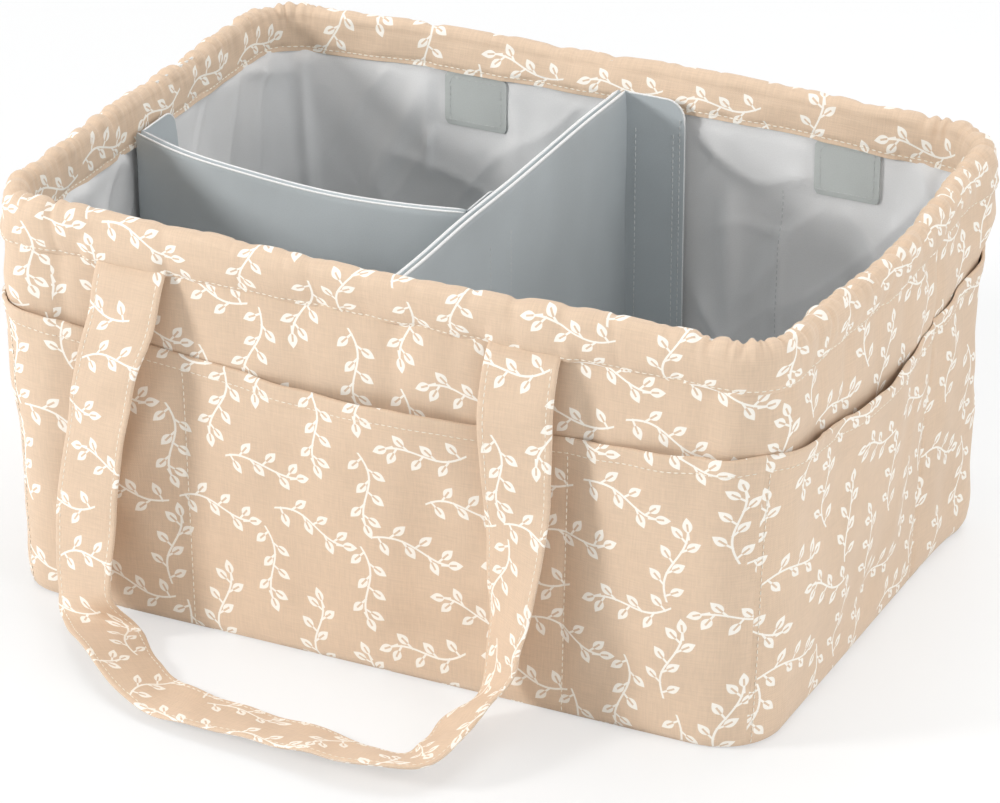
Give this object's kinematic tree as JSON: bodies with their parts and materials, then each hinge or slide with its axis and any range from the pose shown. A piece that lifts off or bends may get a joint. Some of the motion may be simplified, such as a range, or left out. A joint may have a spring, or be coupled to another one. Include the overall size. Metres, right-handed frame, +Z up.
{
  "type": "diaper caddy",
  "caption": "Soft fabric diaper caddy with a gathered elastic rim, pockets all round, strap handles on the long sides and lift-out dividers.",
  "frame": {"origin": "middle of the underside, on the surface that the caddy stands on", "axes": "+Z up, +X along the long side to the right seen from the front, the front faces -Y"},
  "size_m": [0.3886, 0.4502, 0.195],
  "materials": {
    "printed_cotton": "beige woven cotton with a small cream leafy print",
    "grey_lining": "smooth grey coated polyester",
    "divider_cloth": "smooth blue-grey coated polyester",
    "stiffener": "pressed fibre board, inside the fabric",
    "elastic": "white woven elastic, inside the casing",
    "grip_tape": "pale grey hook and loop tape"
  },
  "bodies": {
    "basket": {"outer_cover": "printed_cotton", "base_cover": "printed_cotton", "base_board": "stiffener", "front_board": "stiffener", "right_board": "stiffener", "back_board": "stiffener", "left_board": "stiffener", "lining_walls": "grey_lining", "lining_floor": "grey_lining", "rim_casing": "printed_cotton", "rim_elastic": "elastic", "front_pocket": "printed_cotton", "right_pocket": "printed_cotton", "back_pocket": "printed_cotton", "left_pocket": "printed_cotton", "front_handle_left_end": "printed_cotton", "front_handle_right_end": "printed_cotton", "back_handle_left_end": "printed_cotton", "back_handle_right_end": "printed_cotton", "front_left_anchor_patch": "divider_cloth", "front_right_anchor_patch": "divider_cloth", "back_left_anchor_patch": "divider_cloth", "back_right_anchor_patch": "divider_cloth", "front_loop_strip": "grip_tape", "back_loop_strip": "grip_tape", "left_loop_strip": "grip_tape"},
    "front_handle": {"front_handle": "printed_cotton"},
    "back_handle": {"back_handle": "printed_cotton"},
    "cross_divider": {"cross_divider_cover": "divider_cloth", "cross_divider_board": "stiffener", "cross_divider_front_hook_strip": "grip_tape", "cross_divider_back_hook_strip": "grip_tape", "cross_divider_loop_strip": "grip_tape"},
    "short_divider": {"short_divider_cover": "divider_cloth", "short_divider_board": "stiffener", "short_divider_left_hook_strip": "grip_tape", "short_divider_right_hook_strip": "grip_tape"}
  },
  "joints": [
    {"name": "front_handle_swing", "type": "hinge", "parent": "basket", "child": "front_handle", "pos_m": [-0.02124, -0.134, 0.1675], "axis": [-1, 0, 0], "range_deg": [0, 150]},
    {"name": "back_handle_swing", "type": "hinge", "parent": "basket", "child": "back_handle", "pos_m": [0.02124, 0.134, 0.1675], "axis": [1, 0, 0], "range_deg": [0, 150]},
    {"name": "cross_divider_lift", "type": "slide", "parent": "basket", "child": "cross_divider", "axis": [0, 0, 1], "range_m": [0, 0.195]},
    {"name": "short_divider_lift", "type": "slide", "parent": "basket", "child": "short_divider", "axis": [0, 0, 1], "range_m": [0, 0.195]}
  ]
}
